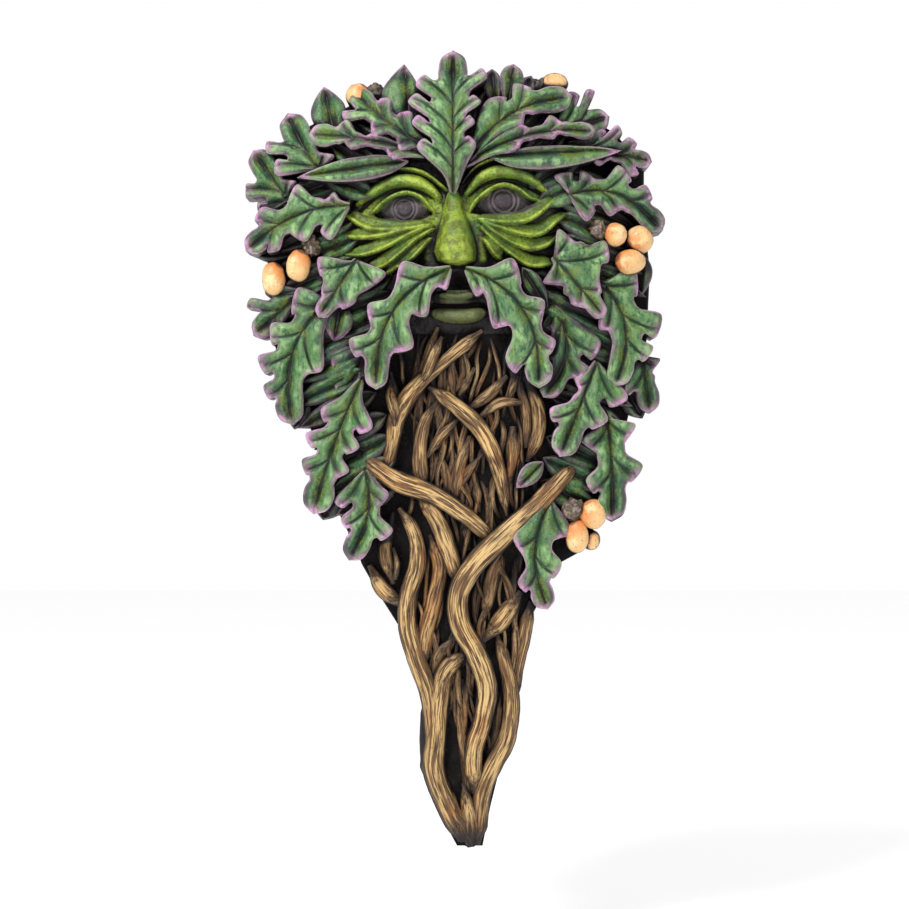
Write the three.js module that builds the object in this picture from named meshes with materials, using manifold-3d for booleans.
// A green man wall plaque: one cast of filled resin, flat behind, that hangs on a screw.
// A leafy face looks out of overlapping oak leaves, and its beard is a tangle of roots that
// narrows to a point. The whole plaque is one solid: every leaf, root and feature runs back
// to the wall plane, as it does in a mould that has to let go of its cast.
//
// The relief is worked in a plane: x to the right, y up, z out of the wall. The mesh is then
// turned upright, so that the plaque faces -Y, +Z is up and the wall plane is Y = 0.
import * as THREE from "three";
import { mergeVertices } from "three/addons/utils/BufferGeometryUtils.js";
import Module from "manifold-3d";

// Driving sizes, in millimetres.
const HEIGHT = 400; // from the top leaf's tip to the root's end
const EDGE_THICKNESS = 10; // the dark side wall all round
const FACE_DEPTH = 33; // the ground behind the face, off the wall
const BEARD_DEPTH = 19; // the floor between the roots, off the wall
const TIP_DEPTH = 13; // the floor near the root's end, off the wall
const OUTER_DEPTH = 5; // the least depth of the ground under the outermost leaves
const NOSE_DEPTH = 56; // the tip of the nose, off the wall
const EYE_SPACING = 49; // between the middles of the eyes
const EYE_WIDTH = 30; // the whole eyeball, most of it under the lids
const EYE_HEIGHT = 16;
const STALK_WIDTH = 3; // of a leaf
const GALL_DIAMETER = 14; // an oak gall
const KEYHOLE_HEAD = 12; // width of the hole that takes the screw's head
const KEYHOLE_SHANK = 6; // width of the slot that takes the screw's shank
const KEYHOLE_RISE = 14; // how far the plaque drops on the screw
const KEYHOLE_DEPTH = 10; // depth of the pocket
const KEYHOLE_LIP = 3.5; // thickness of the lip that the screw's head catches
const KEYHOLE_UP = 45; // the screw's place above the origin

// The layout is drawn on a grid of steps, 797 of them over the height. The origin lies on
// the middle line, on the wall plane, behind the nose.
const GRID_STEPS = 797;
const STEP = HEIGHT / GRID_STEPS;

// Lifts, rises and half widths in the tables are in units of the relief: a unit is a four
// hundredth of the height, which is one millimetre on this plaque.
const UNIT = HEIGHT / 400;

const wasm = await Module();
wasm.setup();

// A closed geometry as a solid for cutting and joining.
function solidOf(geometry) {
  const bare = geometry.index ? geometry.clone() : geometry;
  for (const name of ["normal", "uv"]) bare.deleteAttribute(name);
  const merged = mergeVertices(bare, 1e-4);
  return new wasm.Manifold(
    new wasm.Mesh({
      numProp: 3,
      vertProperties: merged.attributes.position.array,
      triVerts: new Uint32Array(merged.index.array),
    }),
  );
}

// A closed surface from points and triangles, turned so that its faces point out.
function geometryOf(points, triangles) {
  const geometry = new THREE.BufferGeometry();
  const flat = points.flatMap((p) => [p.x, p.y, p.z]);
  geometry.setAttribute("position", new THREE.Float32BufferAttribute(flat, 3));
  geometry.setIndex(triangles.flat());
  return geometry;
}

const mix = (a, b, t) => a + (b - a) * t;
const clamp01 = (t) => Math.min(1, Math.max(0, t));
const point2 = ([x, y]) => new THREE.Vector2(x * STEP, y * STEP);

// The value at t, from 0 to 1, of a list of evenly spaced values.
function along(values, t) {
  const place = clamp01(t) * (values.length - 1);
  const i = Math.min(values.length - 2, Math.floor(place));
  return values.length === 1 ? values[0] : mix(values[i], values[i + 1], place - i);
}

// The ground: a shallow dome that everything is carved on. Each station gives its height on
// the grid, the middle and half width of the dark backing there, and how deep the dome is.
const STATIONS = [
  { up: 172, middle: 6, half: 44, depth: mix(EDGE_THICKNESS, FACE_DEPTH, 0.1) },
  { up: 150, middle: 5, half: 108, depth: mix(EDGE_THICKNESS, FACE_DEPTH, 0.3) },
  { up: 120, middle: 0, half: 163, depth: mix(EDGE_THICKNESS, FACE_DEPTH, 0.6) },
  { up: 85, middle: 0, half: 192, depth: mix(EDGE_THICKNESS, FACE_DEPTH, 0.9) },
  { up: 40, middle: 0, half: 192, depth: FACE_DEPTH },
  { up: -20, middle: 4, half: 194, depth: FACE_DEPTH },
  { up: -100, middle: 6, half: 188, depth: mix(FACE_DEPTH, BEARD_DEPTH, 0.5) },
  { up: -150, middle: 6, half: 174, depth: mix(FACE_DEPTH, BEARD_DEPTH, 0.85) },
  { up: -178, middle: 13, half: 160, depth: BEARD_DEPTH },
  { up: -262, middle: 16, half: 135, depth: BEARD_DEPTH },
  { up: -303, middle: 14, half: 113, depth: mix(BEARD_DEPTH, TIP_DEPTH, 0.3) },
  { up: -315, middle: 5, half: 100, depth: mix(BEARD_DEPTH, TIP_DEPTH, 0.4) },
  { up: -345, middle: 6, half: 84, depth: mix(BEARD_DEPTH, TIP_DEPTH, 0.5) },
  { up: -400, middle: 9, half: 52, depth: mix(BEARD_DEPTH, TIP_DEPTH, 0.8) },
  { up: -450, middle: 15, half: 44, depth: TIP_DEPTH },
  { up: -520, middle: 5, half: 41, depth: TIP_DEPTH },
  { up: -560, middle: 8, half: 28, depth: TIP_DEPTH },
  { up: -600, middle: 15, half: 13, depth: EDGE_THICKNESS },
];
const DOME_POWER = 1.7;
const OUTER_SLOPE = 0.3; // how fast the ground falls away beyond the backing

function stationAt(up) {
  const last = STATIONS.length - 1;
  let i = 0;
  while (i < last - 1 && up < STATIONS[i + 1].up) i++;
  const [a, b] = [STATIONS[i], STATIONS[i + 1]];
  const t = clamp01((a.up - up) / (a.up - b.up));
  return {
    middle: mix(a.middle, b.middle, t) * STEP,
    half: mix(a.half, b.half, t) * STEP,
    depth: mix(a.depth, b.depth, t),
  };
}

function ground(x, y) {
  const { middle, half, depth } = stationAt(y / STEP);
  const off = Math.abs(x - middle) / half;
  if (off <= 1) return EDGE_THICKNESS + (depth - EDGE_THICKNESS) * (1 - off ** DOME_POWER);
  return Math.max(OUTER_DEPTH, EDGE_THICKNESS - OUTER_SLOPE * (off - 1) * half);
}

// The backing: the dome with its side wall, lofted through the stations.
const BACKING_COLUMNS = [-1, -0.8, -0.4, 0, 0.4, 0.8, 1];

function backing() {
  const points = [];
  const columns = BACKING_COLUMNS.length;
  for (const { up, middle, half } of STATIONS)
    for (const share of BACKING_COLUMNS) {
      const x = (middle + half * share) * STEP;
      points.push(new THREE.Vector3(x, up * STEP, ground(x, up * STEP)));
    }
  const front = points.length;
  for (let i = 0; i < front; i++) points.push(points[i].clone().setZ(0));
  const triangles = [];
  const quad = (a, b, c, d) => triangles.push([a, b, c], [a, c, d]);
  for (let r = 0; r < STATIONS.length - 1; r++)
    for (let c = 0; c < columns - 1; c++) {
      const a = r * columns + c;
      quad(a, a + columns, a + columns + 1, a + 1);
      quad(front + a, front + a + 1, front + a + columns + 1, front + a + columns);
    }
  const rows = STATIONS.length;
  const rim = [
    ...Array.from({ length: rows }, (_, r) => r * columns),
    ...Array.from({ length: columns - 1 }, (_, c) => (rows - 1) * columns + c + 1),
    ...Array.from({ length: rows - 1 }, (_, r) => (rows - 2 - r) * columns + columns - 1),
    ...Array.from({ length: columns - 2 }, (_, c) => columns - 2 - c),
  ];
  rim.forEach((a, i) => {
    const b = rim[(i + 1) % rim.length];
    quad(a, front + a, front + b, b);
  });
  return solidOf(geometryOf(points, triangles));
}

// A leaf. Its midrib bows from the stalk's end to the tip, and a vein leaves it for the tip of
// every lobe. The edge goes round the cap of each lobe and dips into a bay before the next.
const VEIN_SLANT = THREE.MathUtils.degToRad(50); // between a vein and the midrib
const FOOT_STEP = 0.01;
const LAST_FOOT = 0.9; // no vein leaves the midrib beyond this share of it
const LEAST_GAP = 0.1; // between two veins' feet
const LOBE_WIDTH = 0.5; // a lobe's half width, as a share of the room up to the next tip
const LOBE_FULLNESS = 0.5; // the most that half width may be, as a share of the vein
const LEAST_LOBE = 2; // the least that half width may be, in units
const CAP = { back: 0.35, out: 0.72, foot: 0.12 }; // where the cap of a lobe is cut
const BAY = 0.66; // from the midrib to a bay, as a share of the way to the tips beside it
const LAST_BAY = 0.42; // where the last bay lies, between the last vein's foot and the end
const FIRST_BAY_TURN = THREE.MathUtils.degToRad(60); // from the midrib to the bay by the stalk
const STALK_GROWTH = 20; // how fast a blade widens above its stalk, in units a midrib
const END_LOBE = [
  { out: 0.66, up: 0.05, foot: 0.5 },
  { out: 0.52, up: 0.66, foot: 0.8 },
]; // the sides of the lobe at the leaf's end, in shares of its length
const PLAIN_SLANT = THREE.MathUtils.degToRad(72); // of the rows in a leaf without lobes
const PLAIN_LEAN = 0.7; // below 1, the widest place is nearer the stalk
const PLAIN_FULLNESS = 0.9; // below 1, the sides are fuller than a sine
const PLAIN_ROWS = [0.12, 0.3, 0.5, 0.7, 0.88];
const RIB_ROWS = [0, 0.2, 0.45, 0.7, 0.92];
const PLAIN_RIB_ROWS = [0, 0.3, 0.7];
const FOLD = 0.12; // how much the edges rise above the midrib, as a share of their reach
const ARCH = 2; // how high a leaf arches between its stalk and its tip, in units
const NO_TURN = new THREE.Vector2();

// A heading turned through an angle, to the left where side is 1 and to the right at -1.
const turned = (way, angle, side) => way.clone().rotateAround(NO_TURN, angle * side);

// The midrib as a curve: its points, its headings and the length of the lobe at its end.
function midribOf(leaf) {
  const base = point2(leaf.base);
  const chord = point2(leaf.tip).sub(base);
  const way = chord.clone().normalize();
  const leftward = turned(way, Math.PI / 2, 1);
  const end = (leaf.end ?? 0) * STEP;
  const ribLength = chord.length() - end;
  const bow = (leaf.bow ?? 0) * chord.length();
  const at = (t) =>
    base
      .clone()
      .addScaledVector(way, ribLength * t)
      .addScaledVector(leftward, bow * 4 * t * (1 - t));
  const heading = (t) =>
    way
      .clone()
      .multiplyScalar(ribLength)
      .addScaledVector(leftward, bow * 4 * (1 - 2 * t))
      .normalize();
  return { at, heading, end };
}

// Where each vein leaves the midrib, so that it meets its lobe's tip at the right slant.
function feetOf(rib, tips, side) {
  let last = -LEAST_GAP;
  return tips.map((tip) => {
    const slantFrom = (t) => {
      const line = tip.clone().sub(rib.at(t));
      const heading = rib.heading(t);
      return Math.atan2(heading.cross(line) * side, heading.dot(line));
    };
    let foot = last + LEAST_GAP;
    while (foot < LAST_FOOT && slantFrom(foot) < VEIN_SLANT) foot += FOOT_STEP;
    last = foot;
    return foot;
  });
}

// One side of a lobed leaf, from the stalk to its end: points of the edge, each with the
// place on the midrib that it belongs to.
function lobedEdge(leaf, rib, side) {
  const tips = (side > 0 ? leaf.left : leaf.right).map(point2);
  const feet = feetOf(rib, tips, side);
  const heading = rib.heading(1);
  const across = turned(heading, Math.PI / 2, side);
  const [flank, brow] = END_LOBE.map(({ out, up }) =>
    rib.at(1).addScaledVector(across, rib.end * out).addScaledVector(heading, rib.end * up),
  );
  const stalk = STALK_WIDTH / 2;
  const aside = turned(rib.heading(0), Math.PI / 2, side);
  const edge = [{ t: 0, spot: rib.at(0).addScaledVector(aside, stalk) }];
  if (feet[0] > 4 * FOOT_STEP) {
    const t = feet[0] / 2;
    const reach = tips[0].distanceTo(rib.at(feet[0]));
    const low = Math.min(BAY * reach, stalk + feet[0] * STALK_GROWTH * UNIT);
    const way = turned(rib.heading(t), FIRST_BAY_TURN, side);
    edge.push({ t, spot: rib.at(t).addScaledVector(way, low) });
  }
  tips.forEach((tip, i) => {
    const vein = tip.clone().sub(rib.at(feet[i]));
    const reach = vein.length();
    const way = vein.normalize();
    const onward = turned(way, Math.PI / 2, -side);
    const nextTip = tips[i + 1] ?? flank;
    const nextFoot = feet[i + 1] ?? 1;
    const ahead = Math.abs(nextTip.clone().sub(tip).dot(onward));
    const behind = i ? Math.abs(tip.clone().sub(tips[i - 1]).dot(onward)) : ahead;
    const cap = (room, sign) => {
      const half = Math.min(Math.max(LOBE_WIDTH * room, LEAST_LOBE * UNIT), LOBE_FULLNESS * reach);
      const spot = tip.clone().addScaledVector(way, -half * CAP.back);
      return spot.addScaledVector(onward, half * CAP.out * sign);
    };
    const footBefore = feet[i - 1] ?? 0;
    edge.push({ t: feet[i] - CAP.foot * (feet[i] - footBefore), spot: cap(behind, -1) });
    edge.push({ t: feet[i] + CAP.foot * (nextFoot - feet[i]), spot: cap(ahead, 1) });
    const t = mix(feet[i], nextFoot, i < tips.length - 1 ? 0.5 : LAST_BAY);
    const between = tip.clone().add(nextTip).multiplyScalar(0.5);
    edge.push({ t, spot: rib.at(t).lerp(between, leaf.bay ?? BAY) });
  });
  for (const [i, spot] of [flank, brow].entries())
    edge.push({ t: mix(edge.at(-1).t, 1, END_LOBE[i].foot), spot });
  return edge;
}

// One side of a leaf without lobes, widest where its lean says.
function plainEdge(leaf, rib, side) {
  const half = leaf.halves[side > 0 ? 0 : 1] * STEP;
  return PLAIN_ROWS.map((t) => {
    const lean = leaf.lean ?? PLAIN_LEAN;
    const reach = half * Math.sin(Math.PI * t ** lean) ** PLAIN_FULLNESS;
    return { t, spot: rib.at(t).addScaledVector(turned(rib.heading(t), PLAIN_SLANT, side), reach) };
  });
}

function leafSolid(leaf) {
  const rib = midribOf(leaf);
  const [baseLift, tipLift] = leaf.lift;
  const arch = leaf.arch ?? ARCH;
  const lift = (t) => (mix(baseLift, tipLift, t) + arch * Math.sin(Math.PI * t)) * UNIT;
  const place = (spot, t) => {
    const reach = spot.distanceTo(rib.at(t));
    return new THREE.Vector3(spot.x, spot.y, ground(spot.x, spot.y) + lift(t) + FOLD * reach);
  };
  const edgeOf = leaf.halves ? plainEdge : lobedEdge;
  const ribRows = leaf.halves ? PLAIN_RIB_ROWS : RIB_ROWS;
  const middle = ribRows.map((t) => ({ t, spot: rib.at(t) }));
  const left = edgeOf(leaf, rib, 1);
  const right = edgeOf(leaf, rib, -1);
  const points = [...middle, ...left, ...right].map(({ t, spot }) => place(spot, t));
  const tip = rib.at(1).addScaledVector(rib.heading(1), rib.end);
  points.push(place(tip, 1));
  const end = { t: 1 + FOOT_STEP, i: points.length - 1 };
  const number = (list, start) => [...list.map((v, i) => ({ t: v.t, i: start + i })), end];
  const ribChain = number(middle, 0);
  const leftChain = number(left, middle.length);
  const rightChain = number(right, middle.length + left.length);
  const triangles = [];

  // Fills the strip between the midrib and one edge, stepping along whichever is behind.
  const zip = (inner, outer, flip) => {
    let a = 0;
    let b = 0;
    while (a < inner.length - 1 || b < outer.length - 1) {
      const stepInner =
        b === outer.length - 1 || (a < inner.length - 1 && inner[a + 1].t <= outer[b + 1].t);
      const next = stepInner ? inner[a + 1].i : outer[b + 1].i;
      const [p, q] = [inner[a].i, outer[b].i];
      if (next !== p && next !== q && p !== q) triangles.push(flip ? [p, next, q] : [p, q, next]);
      if (stepInner) a++;
      else b++;
    }
  };
  zip(ribChain, leftChain, true);
  zip(ribChain, rightChain, false);

  // The wall runs from the outline straight back to the wall plane.
  const backward = leftChain.slice(0, -1).map((v) => v.i);
  const outline = [0, ...rightChain.map((v) => v.i), ...backward.reverse()];
  const flat = outline.map((i) => new THREE.Vector2(points[i].x, points[i].y));
  const first = points.length;
  for (const spot of flat) points.push(new THREE.Vector3(spot.x, spot.y, 0));
  outline.forEach((a, k) => {
    const n = (k + 1) % outline.length;
    triangles.push([a, first + k, first + n], [a, first + n, outline[n]]);
  });
  for (const [a, b, c] of THREE.ShapeUtils.triangulateShape(flat, []))
    triangles.push([first + a, first + c, first + b]);
  return solidOf(geometryOf(points, triangles));
}

// The leaves, from the back of the pile to the front. Places are in grid steps and lifts in
// units over the ground. Each side gives the tips of its lobes, stalk end first, with left and
// right as seen when looking from the stalk to the tip, and end is the length of the lobe at
// the leaf's end. A leaf without lobes gives its two half widths.
const LEAVES = [
  // The thick edge of the cast where it shows under the leaves
  {
    name: "edge_temple_left", base: [-158, 0], tip: [-207, -1], halves: [11, 3], lift: [2, 3],
    arch: 0,
  },
  {
    name: "edge_left_long", base: [-152, -142], tip: [-163, -179], halves: [15, 15],
    lift: [2, 2], arch: 0,
  },
  {
    name: "edge_left_lower", base: [-122, -236], tip: [-134, -271], halves: [18, 17],
    lift: [2, 2], arch: 0,
  },
  {
    name: "edge_left_lowest", base: [-92, -268], tip: [-108, -298], halves: [9, 8], lift: [2, 2],
    arch: 0,
  },
  {
    name: "edge_right", base: [168, -132], tip: [190, -168], halves: [17, 15], lift: [2, 2],
    arch: 0,
  },
  {
    name: "edge_galls_right", base: [180, 4], tip: [186, -47], halves: [17, 10], lift: [3, 4],
    arch: 0,
  },
  // Behind
  { name: "peak_left", base: [-120, 112], tip: [-132, 166], halves: [20, 18], lift: [7, 10] },
  { name: "peak_middle", base: [-44, 120], tip: [-51, 187], halves: [27, 14], lift: [9, 12] },
  { name: "crown_top_first", base: [42, 120], tip: [37, 182], halves: [11, 9], lean: 2, lift: [8, 10] },
  { name: "crown_top_third", base: [52, 120], tip: [77, 177], halves: [9, 10], lean: 2, lift: [8, 10] },
  { name: "crown_top_second", base: [50, 122], tip: [59, 187], halves: [13, 13], lean: 2, lift: [9, 12] },
  {
    name: "outer_left_top", base: [-166, 48], tip: [-203, 101], left: [[-200, 39], [-213, 61]],
    right: [[-164, 73]], end: 20, lift: [8, 9],
  },
  {
    name: "outer_left_middle", base: [-148, -38], tip: [-203, -85], left: [[-180, -80]],
    right: [[-192, -37], [-210, -54]], end: 20, lift: [7, 7],
  },
  {
    name: "outer_right_low", base: [186, -100], tip: [197, -163], left: [[206, -117]],
    right: [[170, -144]], end: 18, lift: [7, 7],
  },
  {
    name: "shade_left", base: [-80, -80], tip: [-118, -172], left: [[-88, -130]],
    right: [[-126, -116], [-122, -142]], end: 14, lift: [3, 5],
  },
  // Crown
  {
    name: "crown_left_outer", base: [-134, 76], tip: [-170, 136],
    left: [[-182, 82], [-190, 104]], right: [[-126, 98]], end: 22, bow: 0.02,
    lift: [11, 14],
  },
  {
    name: "crown_left_low", base: [-27, 90], tip: [-145, 115],
    left: [[-68, 88], [-108, 98]], right: [[-86, 113], [-112, 127]],
    end: 18, bow: -0.03, lift: [10, 17],
  },
  {
    name: "crown_left_inner", base: [-25, 98], tip: [-105, 158],
    left: [[-60, 99], [-86, 115], [-113, 133]], right: [[-50, 138], [-70, 152]], end: 18,
    bow: 0.04, lift: [11, 15],
  },
  {
    name: "crown_right_outer", base: [92, 114], tip: [155, 134], left: [[121, 160], [138, 162]],
    right: [[128, 120]], end: 20, lift: [9, 12],
  },
  {
    name: "outer_right", base: [112, 104], tip: [197, 88], left: [[150, 119], [165, 123], [181, 109]],
    right: [[150, 82], [181, 72]], end: 14, lift: [11, 14],
  },
  {
    name: "crown_right_low", base: [8, 78], tip: [139, 121], left: [[70, 122], [102, 131]],
    right: [[66, 97], [101, 108]], end: 14, bow: 0.08, lift: [11, 17],
  },
  {
    name: "crown_right_middle", base: [14, 84], tip: [113, 162], left: [[42, 153], [67, 166]],
    right: [[71, 125]], end: 22, bow: 0.1, lift: [12, 16],
  },
  { name: "brow_left", base: [-46, 84], tip: [-156, 69], halves: [14, 12], lift: [11, 20] },
  { name: "brow_right", base: [34, 88], tip: [167, 97], halves: [8, 17], lift: [11, 21] },
  {
    name: "forehead", base: [-2, 52], tip: [-2, 196],
    left: [[-36, 103], [-41, 127], [-45, 148], [-37, 168]],
    right: [[19, 106], [18, 127], [25, 147], [30, 176]], end: 22, lift: [12, 20], arch: 4,
  },
  // Sides
  {
    name: "left_long", base: [-108, -45], tip: [-176, -173], left: [[-138, -126]],
    right: [[-166, -50], [-188, -86], [-198, -116], [-190, -147]], end: 22, bow: -0.15,
    lift: [9, 13],
  },
  { name: "cheek_left_under", base: [-112, -52], tip: [-121, -93], halves: [16, 15], lift: [7, 8] },
  {
    name: "temple_left", base: [-104, 41], tip: [-212, 4],
    left: [[-130, 9], [-156, 6], [-184, -5]], right: [[-126, 54], [-163, 60], [-200, 34]],
    end: 18, bow: -0.08, lift: [12, 17],
  },
  {
    name: "cheek_left", base: [-97, -12], tip: [-135, -69], left: [[-74, -40], [-106, -62]],
    right: [[-139, -19], [-134, -44]], end: 14, bay: 0.82, lift: [11, 15],
  },
  {
    name: "temple_right", base: [112, 52], tip: [212, 27],
    left: [[106, 77], [134, 76], [171, 79], [197, 57]], right: [[137, 29], [162, 33]],
    end: 18, bow: 0.13, lift: [12, 17],
  },
  {
    name: "right_long", base: [140, -30], tip: [171, -137],
    left: [[187, -31], [208, -80], [195, -109]], right: [[147, -83]], end: 20,
    bow: 0.14, lift: [10, 15],
  },
  {
    name: "right_inner", base: [98, -58], tip: [98, -151], left: [[145, -104], [129, -129]],
    right: [[88, -80], [86, -112]], end: 18, bow: 0.14, lift: [6, 11],
  },
  { name: "cheek_right_under", base: [66, -20], tip: [93, -62], halves: [11, 13], lift: [7, 8] },
  {
    name: "cheek_right", base: [97, -9], tip: [148, -69],
    left: [[114, 16], [155, 0], [147, -40]], right: [[96, -42], [121, -61]], end: 14,
    bay: 0.82, lift: [11, 16],
  },
  // Beard's border
  {
    name: "left_lower", base: [-93, -130], tip: [-144, -264],
    left: [[-87, -184], [-100, -204], [-110, -228]],
    right: [[-135, -167], [-150, -191], [-154, -220]], end: 24, bow: -0.02, lift: [11, 13],
  },
  {
    name: "left_lowest", base: [-90, -220], tip: [-99, -313], left: [[-67, -253], [-65, -288]],
    right: [[-118, -257], [-113, -276]], end: 20, bow: 0.08, lift: [10, 11],
  },
  {
    name: "right_lower", base: [141, -112], tip: [104, -207], left: [[166, -157], [146, -179]],
    right: [[118, -136], [93, -168]], end: 22, lift: [12, 14],
  },
  {
    name: "right_lowest", base: [150, -160], tip: [159, -272], left: [[180, -187], [186, -227]],
    right: [[130, -201], [134, -242]], end: 22, bow: 0.02, lift: [10, 13],
  },
  {
    name: "beard_right", base: [96, -250], tip: [85, -361], left: [[112, -289], [104, -326]],
    right: [[58, -298], [66, -341]], end: 18, bow: -0.1, lift: [10, 11],
  },
  { name: "bud", base: [88, -212], tip: [61, -238], halves: [10, 11], lift: [8, 9] },
  // Moustache
  {
    name: "moustache_left", base: [-4, -22], tip: [-88, -137],
    left: [[-13, -44], [-34, -71], [-48, -106]],
    right: [[-60, -25], [-89, -68], [-105, -102]], end: 18, bow: -0.15,
    lift: [14, 18], arch: 3,
  },
  {
    name: "moustache_right", base: [10, -23], tip: [95, -135],
    left: [[66, -22], [91, -63], [99, -102]], right: [[24, -50], [42, -82], [56, -124]], end: 21,
    bow: 0.15, lift: [14, 18], arch: 3,
  },
];

// A ridge: a rounded bar along a path, which runs back to the wall plane. Paths are in grid
// steps, and half widths in units, each spread evenly along the path. The top is a height in
// millimetres at a spot and a share of the length.
const RIDGE_SECTION = [
  [1, 0],
  [0.5, 1],
  [-0.5, 1],
  [-1, 0],
]; // across, and up from the shoulders to the crest
const PIECES_PER_STOP = 1.12;
const LEAST_SHOULDER = 1; // the least height of a ridge's shoulders off the wall, in units

function ridgeSolid({ path, half, top, pieces, round = 1 }) {
  const stops = path.map(([x, y]) => new THREE.Vector3(x * STEP, y * STEP, 0));
  const curve = new THREE.CatmullRomCurve3(stops, false, "centripetal");
  const steps = pieces ?? Math.ceil(PIECES_PER_STOP * (path.length - 1));
  const points = [];
  for (let i = 0; i <= steps; i++) {
    const t = i / steps;
    const spot = curve.getPoint(t);
    const heading = curve.getTangent(t);
    const across = new THREE.Vector3(heading.y, -heading.x, 0).normalize();
    const width = along(half, t) * UNIT;
    const height = top(spot, t);
    const shoulder = Math.max(LEAST_SHOULDER * UNIT, height - width * round);
    for (const [out, up] of RIDGE_SECTION) {
      const p = spot.clone().addScaledVector(across, width * out);
      points.push(p.setZ(mix(shoulder, height, up)));
    }
    points.push(spot.clone().addScaledVector(across, -width));
    points.push(spot.clone().addScaledVector(across, width));
  }
  const ring = RIDGE_SECTION.length + 2;
  const triangles = [];
  for (let i = 0; i < steps; i++)
    for (let k = 0; k < ring; k++) {
      const [a, b] = [i * ring + k, i * ring + ((k + 1) % ring)];
      triangles.push([a, b + ring, b], [a, a + ring, b + ring]);
    }
  for (let k = 1; k < ring - 1; k++) {
    triangles.push([0, k, k + 1]);
    triangles.push([steps * ring, steps * ring + k + 1, steps * ring + k]);
  }
  return solidOf(geometryOf(points, triangles));
}

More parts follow.
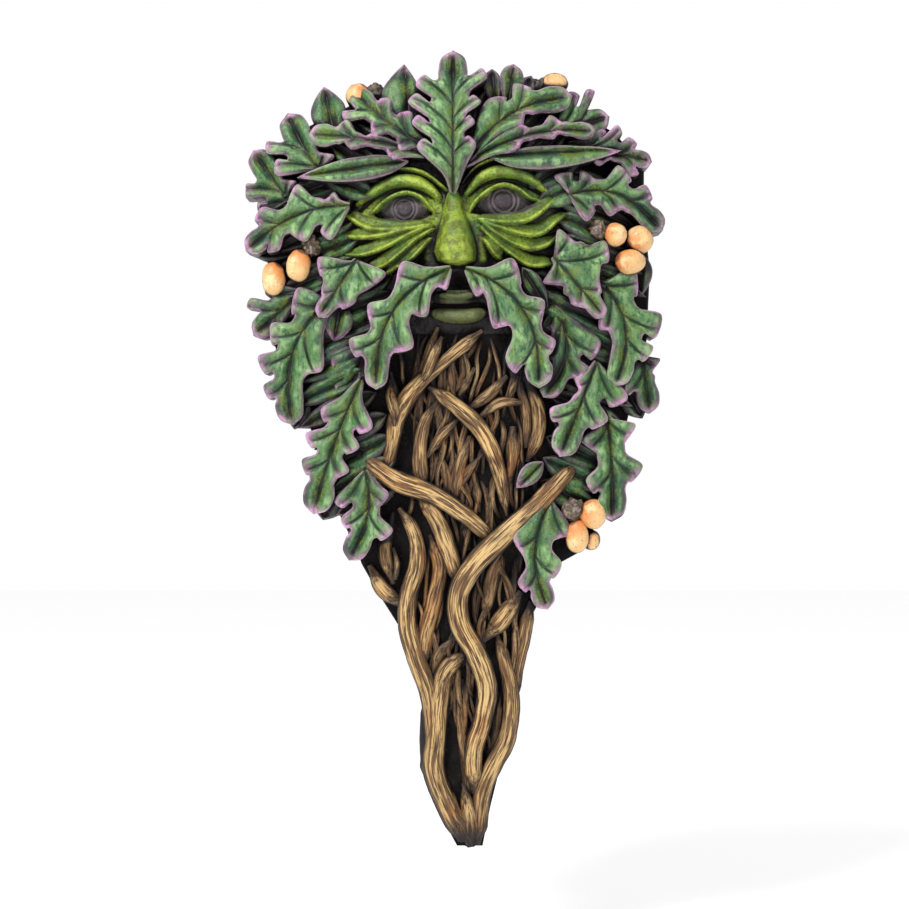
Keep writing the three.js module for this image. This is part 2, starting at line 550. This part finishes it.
// The roots. A root's rise is how far its crest stands over the floor, in units, and
// its girth is its half width in grid steps, each spread evenly along the path.
const ROOTS = [
  // Deep between the others
  {
    name: "shade_end", path: [[7, -430], [8, -480], [13, -520], [15, -556]], girth: [6, 8, 7],
    rise: [3, 4],
  },
  {
    name: "shade_lower", path: [[42, -450], [40, -490], [31, -525]], girth: [6, 8, 6],
    rise: [3, 4],
  },
  { name: "shade_middle", path: [[8, -262], [15, -300]], girth: [6, 6], rise: [3, 3] },
  {
    name: "shade_left", path: [[-62, -262], [-70, -300], [-62, -335]], girth: [6, 8, 7],
    rise: [3, 5],
  },
  { name: "shade_right", path: [[66, -300], [60, -330], [52, -352]], girth: [6, 8], rise: [3, 4] },
  {
    name: "right_edge", path: [[76, -352], [69, -390], [61, -425], [60, -456]], girth: [8, 8, 7],
    rise: [4, 5],
  },
  // Under
  {
    name: "mid_left", path: [[-25, -285], [-15, -315], [-20, -350], [-29, -385], [-31, -418]],
    girth: [7, 9, 7], rise: [5, 7],
  },
  {
    name: "inner_right", path: [[44, -292], [37, -330], [28, -372]], girth: [7, 8, 6],
    rise: [5, 6],
  },
  { name: "slip", path: [[0, -388], [-15, -405], [-23, -428]], girth: [6, 6], rise: [5, 6] },
  { name: "upper_twig", path: [[-17, -78], [-27, -108], [-37, -134]], girth: [5, 6], rise: [7, 8] },
  {
    name: "upper_stub", path: [[-64, -122], [-60, -150], [-59, -168]], girth: [5, 7],
    rise: [7, 8],
  },
  {
    name: "inner_left", path: [[-18, -152], [-31, -175], [-35, -210], [-31, -242]],
    girth: [6, 7, 9], rise: [7, 8],
  },
  { name: "inner_twig", path: [[4, -168], [-15, -188], [-28, -207]], girth: [5, 6], rise: [6, 7] },
  { name: "middle_fork", path: [[15, -186], [5, -215], [-2, -255]], girth: [6, 8], rise: [6, 6] },
  { name: "middle_twig", path: [[28, -204], [15, -219], [5, -238]], girth: [4, 6], rise: [6, 6] },
  { name: "short_peg", path: [[20, -225], [24, -262]], girth: [5, 6], rise: [4, 4] },
  {
    name: "right_hook", path: [[70, -126], [82, -155], [84, -180], [73, -212]], girth: [5, 8, 7],
    rise: [8, 9, 6],
  },
  { name: "right_twig", path: [[72, -153], [45, -153], [24, -168]], girth: [5, 6], rise: [7, 8] },
  {
    name: "right_spur", path: [[58, -176], [57, -208], [51, -246]], girth: [7, 7, 5],
    rise: [5, 5],
  },
  { name: "short_bar", path: [[52, -126], [31, -147], [13, -160]], girth: [6, 7], rise: [6, 7] },
  {
    name: "stub_right", path: [[66, -342], [47, -370], [28, -392]], girth: [8, 10, 8],
    rise: [7, 8],
  },
  // Over
  {
    name: "upper_left",
    path: [[27, -82], [-10, -112], [-43, -142], [-58, -168], [-63, -195], [-71, -228]],
    girth: [6, 7, 10, 8, 6], rise: [9, 11, 10, 6],
  },
  {
    name: "left_outer", path: [[-86, -316], [-73, -340], [-52, -356]], girth: [7, 9],
    rise: [6, 8],
  },
  {
    name: "left_down",
    path: [
      [-56, -258], [-40, -285], [-38, -315], [-47, -348], [-47, -380], [-38, -412], [-26, -445],
      [-22, -480], [-22, -512],
    ],
    girth: [6, 9, 10, 10, 9], rise: [6, 8, 9, 8],
  },
  {
    name: "left_low_edge", path: [[-27, -446], [-29, -490], [-25, -525], [-13, -557], [6, -594]],
    girth: [6, 8, 8], rise: [4, 6],
  },
  {
    name: "left_fork", path: [[-37, -242], [-17, -272], [-6, -302], [5, -338]],
    girth: [8, 10, 8], rise: [9, 9, 7],
  },
  {
    name: "centre_diagonal", path: [[-26, -137], [3, -158], [27, -182], [42, -215], [52, -266]],
    girth: [7, 9, 9, 5], rise: [9, 12, 10, 6],
  },
  {
    name: "left_diagonal", path: [[-97, -205], [-60, -230], [-25, -243], [10, -265], [42, -294]],
    girth: [9, 11, 9, 7], rise: [10, 13, 11, 7],
  },
  {
    name: "lower_left",
    path: [[14, -402], [-8, -420], [-16, -450], [-19, -490], [-21, -520], [-9, -555], [9, -594]],
    girth: [8, 11, 11, 10], rise: [7, 9, 9, 7],
  },
  {
    name: "lower_right",
    path: [[42, -385], [52, -422], [57, -455], [52, -490], [38, -518], [28, -542], [22, -598]],
    girth: [6, 9, 10, 9], rise: [6, 8, 9, 7],
  },
  {
    name: "right_main",
    path: [
      [124, -210], [90, -247], [55, -280], [23, -310], [4, -342], [5, -372], [20, -402],
      [32, -435], [28, -470], [19, -502], [20, -545],
    ],
    girth: [8, 11, 11, 11, 10, 9], rise: [11, 14, 14, 12, 8],
  },
  {
    name: "root_end", path: [[14, -550], [16, -578], [15, -602]], girth: [16, 17, 13],
    rise: [5, 3, 1],
  },
];

// The top of a ridge that stands over the ground by the given rises.
const risen = (rises) => (spot, t) => ground(spot.x, spot.y) + along(rises, t) * UNIT;

function rootSolid({ path, girth, rise }) {
  return ridgeSolid({ path, half: girth.map((g) => (g * STEP) / UNIT), top: risen(rise) });
}

// The face: every feature is a ridge or a dome, as far over the ground as its rise says. The
// face leans a little, with the eye on the right the higher.
const FACE_TILT = THREE.MathUtils.degToRad(4);
const EYE_LINE = [-1.5, 42]; // the middle of the eye line, in grid steps
const EYE_RISE = 6; // of the eyeball over the ground, in units
const DOME_SIDES = 8;
const DOME_TURNS = [0, 0.5, 1]; // shares of the quarter turn from the side to the top

// A dome on a straight wall that runs back to the wall plane: a gall or an eyeball.
function domeSolid({ at, radius, spring, crest, stretch = [1, 1] }) {
  const profile = [new THREE.Vector2(0, 0), new THREE.Vector2(radius, 0)];
  for (const share of DOME_TURNS) {
    const turn = (share * Math.PI) / 2;
    const height = spring + (crest - spring) * Math.sin(turn);
    profile.push(new THREE.Vector2(radius * Math.cos(turn), height));
  }
  const made = new THREE.LatheGeometry(profile, DOME_SIDES);
  made.rotateX(Math.PI / 2);
  made.scale(...stretch, 1);
  const { x, y } = point2(at);
  return solidOf(made.translate(x, y, 0));
}

// A point of the face, in grid steps across and up from the middle of the eye line.
function onFace(across, up) {
  const [c, s] = [Math.cos(FACE_TILT), Math.sin(FACE_TILT)];
  return [across * c - up * s + EYE_LINE[0], across * s + up * c + EYE_LINE[1]];
}

// The arcs round an eye. Each runs from its inner end over a swell to its outer end, in grid
// steps from the eye's middle, with its half width and rise in units.
const EYE_ARCS = [
  {
    name: "upper_lid", inner: [-29, -5], outer: [42, -8], swell: 21, half: [0.8, 1.6, 1],
    rise: [7, 10, 7],
  },
  {
    name: "lower_lid", inner: [-25, -8], outer: [27, -6], swell: -7, half: [0.8, 1.6, 0.8],
    rise: [6, 8, 6],
  },
  {
    name: "brow_pad", inner: [-29, 10], outer: [48, 1], swell: 23, half: [2, 3.6, 3.6, 2],
    rise: [9, 12, 11, 7],
  },
];

// The cheek blades fan out from beside the nose, each a little lower than the last.
const BLADE_RISES = [1, 1.12, 0.88, 0.5]; // shares of a blade's rise, from the nose outwards
const BLADE_ENDS = [1.5, 0.8]; // half widths at the two ends
const CHEEK_BLADES = [
  { start: [-20, 26], turn: [-62, 12], end: [-116, 36], width: 2.6, rise: 9 },
  { start: [-20, 22], turn: [-70, 4], end: [-118, 17], width: 3, rise: 8.4 },
  { start: [-20, 18], turn: [-64, -6], end: [-112, -8], width: 3.6, rise: 7.8 },
  { start: [-18, 12], turn: [-56, -16], end: [-100, -27], width: 4, rise: 7.2 },
  { start: [-16, 4], turn: [-44, -18], end: [-72, -29], width: 3.6, rise: 6.6 },
  { start: [20, 32], turn: [62, 18], end: [113, 54], width: 3, rise: 9 },
  { start: [22, 27], turn: [72, 7], end: [115, 36], width: 3, rise: 8.4 },
  { start: [23, 22], turn: [66, -6], end: [104, 14], width: 3.4, rise: 7.8 },
  { start: [24, 15], turn: [58, -19], end: [102, -16], width: 3.8, rise: 7.2 },
  { start: [24, 6], turn: [36, -12], end: [52, -27], width: 3.2, rise: 6.6 },
];

const MOUTH = [
  {
    name: "upper_lip", path: [[-28, -45], [-10, -44], [2, -46], [14, -44], [30, -45]],
    half: [1, 3, 3, 1], rise: [3, 9, 9, 3],
  },
  { name: "lower_lip", path: [[-30, -62], [2, -67], [32, -62]], half: [1, 4, 1], rise: [3, 9, 3] },
  { name: "chin", path: [[-24, -76], [2, -81], [28, -76]], half: [2, 5, 2], rise: [2, 6, 2] },
];

// The nose: its ridge from between the eyes to its tip, and a wing on each side. Heights are
// shares of the way from the ground behind the face to the nose's tip.
const NOSE = { path: [[-3, 60], [-1, 30], [0, 6], [1, -12], [1, -20]], half: [3, 5.5, 8.5, 10.5, 8.5] };
const NOSE_HEIGHTS = [0.3, 0.5, 0.85, 1, 0.6];
const NOSE_ROUND = 1.2;
const NOSE_WING = { out: [12, 18, 15], up: [4, -8, -17], half: [2, 4.5, 3.5], share: [0.2, 0.48, 0.4] };

const PIECES_PER_FEATURE = 4;
const noseTop = (shares) => (_, t) => mix(FACE_DEPTH, NOSE_DEPTH, along(shares, t));

function eyeSolids(side) {
  const middle = [(side * EYE_SPACING) / 2 / STEP, 0];
  const at = onFace(...middle);
  const floor = ground(at[0] * STEP, at[1] * STEP);
  const eyeball = domeSolid({
    at,
    radius: 1,
    spring: floor,
    crest: floor + EYE_RISE * UNIT,
    stretch: [EYE_WIDTH / 2, EYE_HEIGHT / 2],
  });
  const arcs = EYE_ARCS.map(({ inner, outer, swell, half, rise }) => {
    const stop = (t) => {
      const across = side * mix(inner[0], outer[0], t);
      return onFace(middle[0] + across, mix(inner[1], outer[1], t) + swell * 4 * t * (1 - t));
    };
    const path = [0, 0.25, 0.5, 0.75, 1].map(stop);
    return ridgeSolid({ path, half, top: risen(rise), pieces: PIECES_PER_FEATURE });
  });
  return [eyeball, ...arcs];
}

function noseSolids() {
  const wings = [-1, 1].map((side) => {
    const path = NOSE_WING.out.map((out, i) => [side * out + 1, NOSE_WING.up[i]]);
    return ridgeSolid({ path, half: NOSE_WING.half, top: noseTop(NOSE_WING.share), pieces: 3 });
  });
  return [ridgeSolid({ ...NOSE, top: noseTop(NOSE_HEIGHTS), pieces: 5, round: NOSE_ROUND }), ...wings];
}

function cheekAndMouthSolids() {
  const blades = CHEEK_BLADES.map(({ start, turn, end, width, rise }) => {
    const top = risen(BLADE_RISES.map((share) => rise * share));
    const half = [BLADE_ENDS[0], width, width, BLADE_ENDS[1]];
    return ridgeSolid({ path: [start, turn, end], half, top, pieces: PIECES_PER_FEATURE });
  });
  const mouth = MOUTH.map(({ path, half, rise }) =>
    ridgeSolid({ path, half, top: risen(rise), pieces: PIECES_PER_FEATURE }),
  );
  return [...blades, ...mouth];
}

// The oak galls, which sit in clusters among the leaves: place in grid steps, width and height
// as shares of a gall's diameter, and how far the middle stands over the ground, in units.
const GALLS = [
  { at: [-155, -17], size: [0.9, 1.15], over: 13 },
  { at: [-181, -29], size: [0.9, 1.2], over: 11 },
  { at: [-97, 154], size: [0.9, 0.95], over: 10 },
  { at: [100, 168], size: [0.98, 0.85], over: 9 },
  { at: [159, 14], size: [0.87, 0.82], over: 13 },
  { at: [184, 10], size: [1.05, 1], over: 12 },
  { at: [174, -13], size: [1.1, 0.92], over: 13 },
  { at: [138, -264], size: [1, 1.1], over: 11 },
  { at: [122, -286], size: [0.85, 1.2], over: 11 },
  { at: [137, -290], size: [0.65, 0.75], over: 8 },
];

function gallSolid({ at, size, over }) {
  const radius = GALL_DIAMETER / 2;
  const { x, y } = point2(at);
  const spring = ground(x, y) + over * UNIT;
  return domeSolid({ at, radius, spring, crest: spring + radius * size[0], stretch: size });
}

// The keyhole pocket in the back: a round mouth that narrows to a slot above it, with room
// behind the slot's lip for the screw's head.
const CUT_CLEAR = 1; // how far a cut runs past the surface it opens

function keyholeSolid() {
  const [head, shank] = [KEYHOLE_HEAD / 2, KEYHOLE_SHANK / 2];
  const low = KEYHOLE_UP - KEYHOLE_RISE;
  const bar = (radius, from, depth) => {
    const shape = new THREE.Shape();
    shape.absarc(0, KEYHOLE_UP, radius, 0, Math.PI, false);
    shape.absarc(0, low, radius, Math.PI, 2 * Math.PI, false);
    const made = new THREE.ExtrudeGeometry(shape, { depth, bevelEnabled: false, curveSegments: 8 });
    return solidOf(made.translate(0, 0, from));
  };
  const mouth = new THREE.CylinderGeometry(head, head, KEYHOLE_DEPTH + CUT_CLEAR, 16);
  mouth.rotateX(Math.PI / 2);
  mouth.translate(0, low, (KEYHOLE_DEPTH - CUT_CLEAR) / 2);
  const slot = bar(shank, -CUT_CLEAR, KEYHOLE_LIP + 2 * CUT_CLEAR);
  const room = bar(head, KEYHOLE_LIP, KEYHOLE_DEPTH - KEYHOLE_LIP);
  return solidOf(mouth).add(slot).add(room);
}

// Everything is joined, the keyhole is cut, and flat stretches are left with few triangles.
const SIMPLIFY = 0.8; // largest change of the surface, in millimetres

function plaqueGeometry() {
  const solids = [
    backing(),
    ...LEAVES.map(leafSolid),
    ...ROOTS.map(rootSolid),
    ...eyeSolids(-1),
    ...eyeSolids(1),
    ...noseSolids(),
    ...cheekAndMouthSolids(),
    ...GALLS.map(gallSolid),
  ];
  const whole = wasm.Manifold.union(solids).subtract(keyholeSolid()).simplify(SIMPLIFY);
  const bodies = whole.decompose().sort((a, b) => b.volume() - a.volume());
  const { numProp, vertProperties, triVerts } = bodies[0].getMesh();
  const geometry = new THREE.BufferGeometry();
  const places = new Float32Array((vertProperties.length / numProp) * 3);
  for (let i = 0; i < places.length / 3; i++)
    places.set(vertProperties.subarray(i * numProp, i * numProp + 3), i * 3);
  geometry.setAttribute("position", new THREE.BufferAttribute(places, 3));
  geometry.setIndex(new THREE.BufferAttribute(triVerts, 1));
  geometry.computeVertexNormals();
  return geometry;
}

const painted = new THREE.MeshStandardMaterial({ color: 0x3f6b3c, roughness: 0.55, metalness: 0 });
const plaque = new THREE.Mesh(plaqueGeometry(), painted);
plaque.name = "green_man_plaque";
plaque.rotation.x = Math.PI / 2;

const root = new THREE.Group();
root.add(plaque);
export default root;
